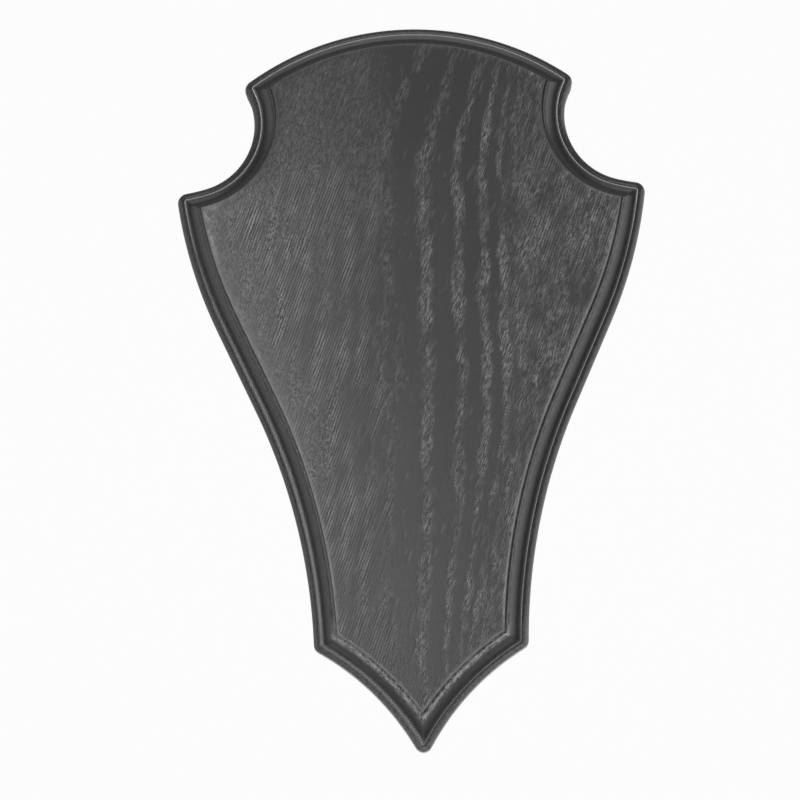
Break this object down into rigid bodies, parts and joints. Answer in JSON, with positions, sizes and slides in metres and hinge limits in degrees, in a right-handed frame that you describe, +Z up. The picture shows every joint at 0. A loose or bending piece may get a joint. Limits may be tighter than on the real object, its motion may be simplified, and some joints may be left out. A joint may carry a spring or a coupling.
{
  "type": "antler mounting plaque",
  "caption": "Shield-shaped wooden wall plaque with side notches, a pointed foot and a routed cove and bead edge, for mounting antlers.",
  "frame": {"origin": "the point of the flat back that is fixed to the wall, on the centre line and 60 mm below the crown", "axes": "+Z up as it hangs, +Y out of the back into the wall, the front faces -Y, +X to the right seen from the front"},
  "size_m": [0.1496, 0.018, 0.2317],
  "materials": {
    "dark_oak": "black stained open-pored oak with a satin sheen"
  },
  "bodies": {
    "root": {"plaque": "dark_oak"}
  },
  "joints": []
}
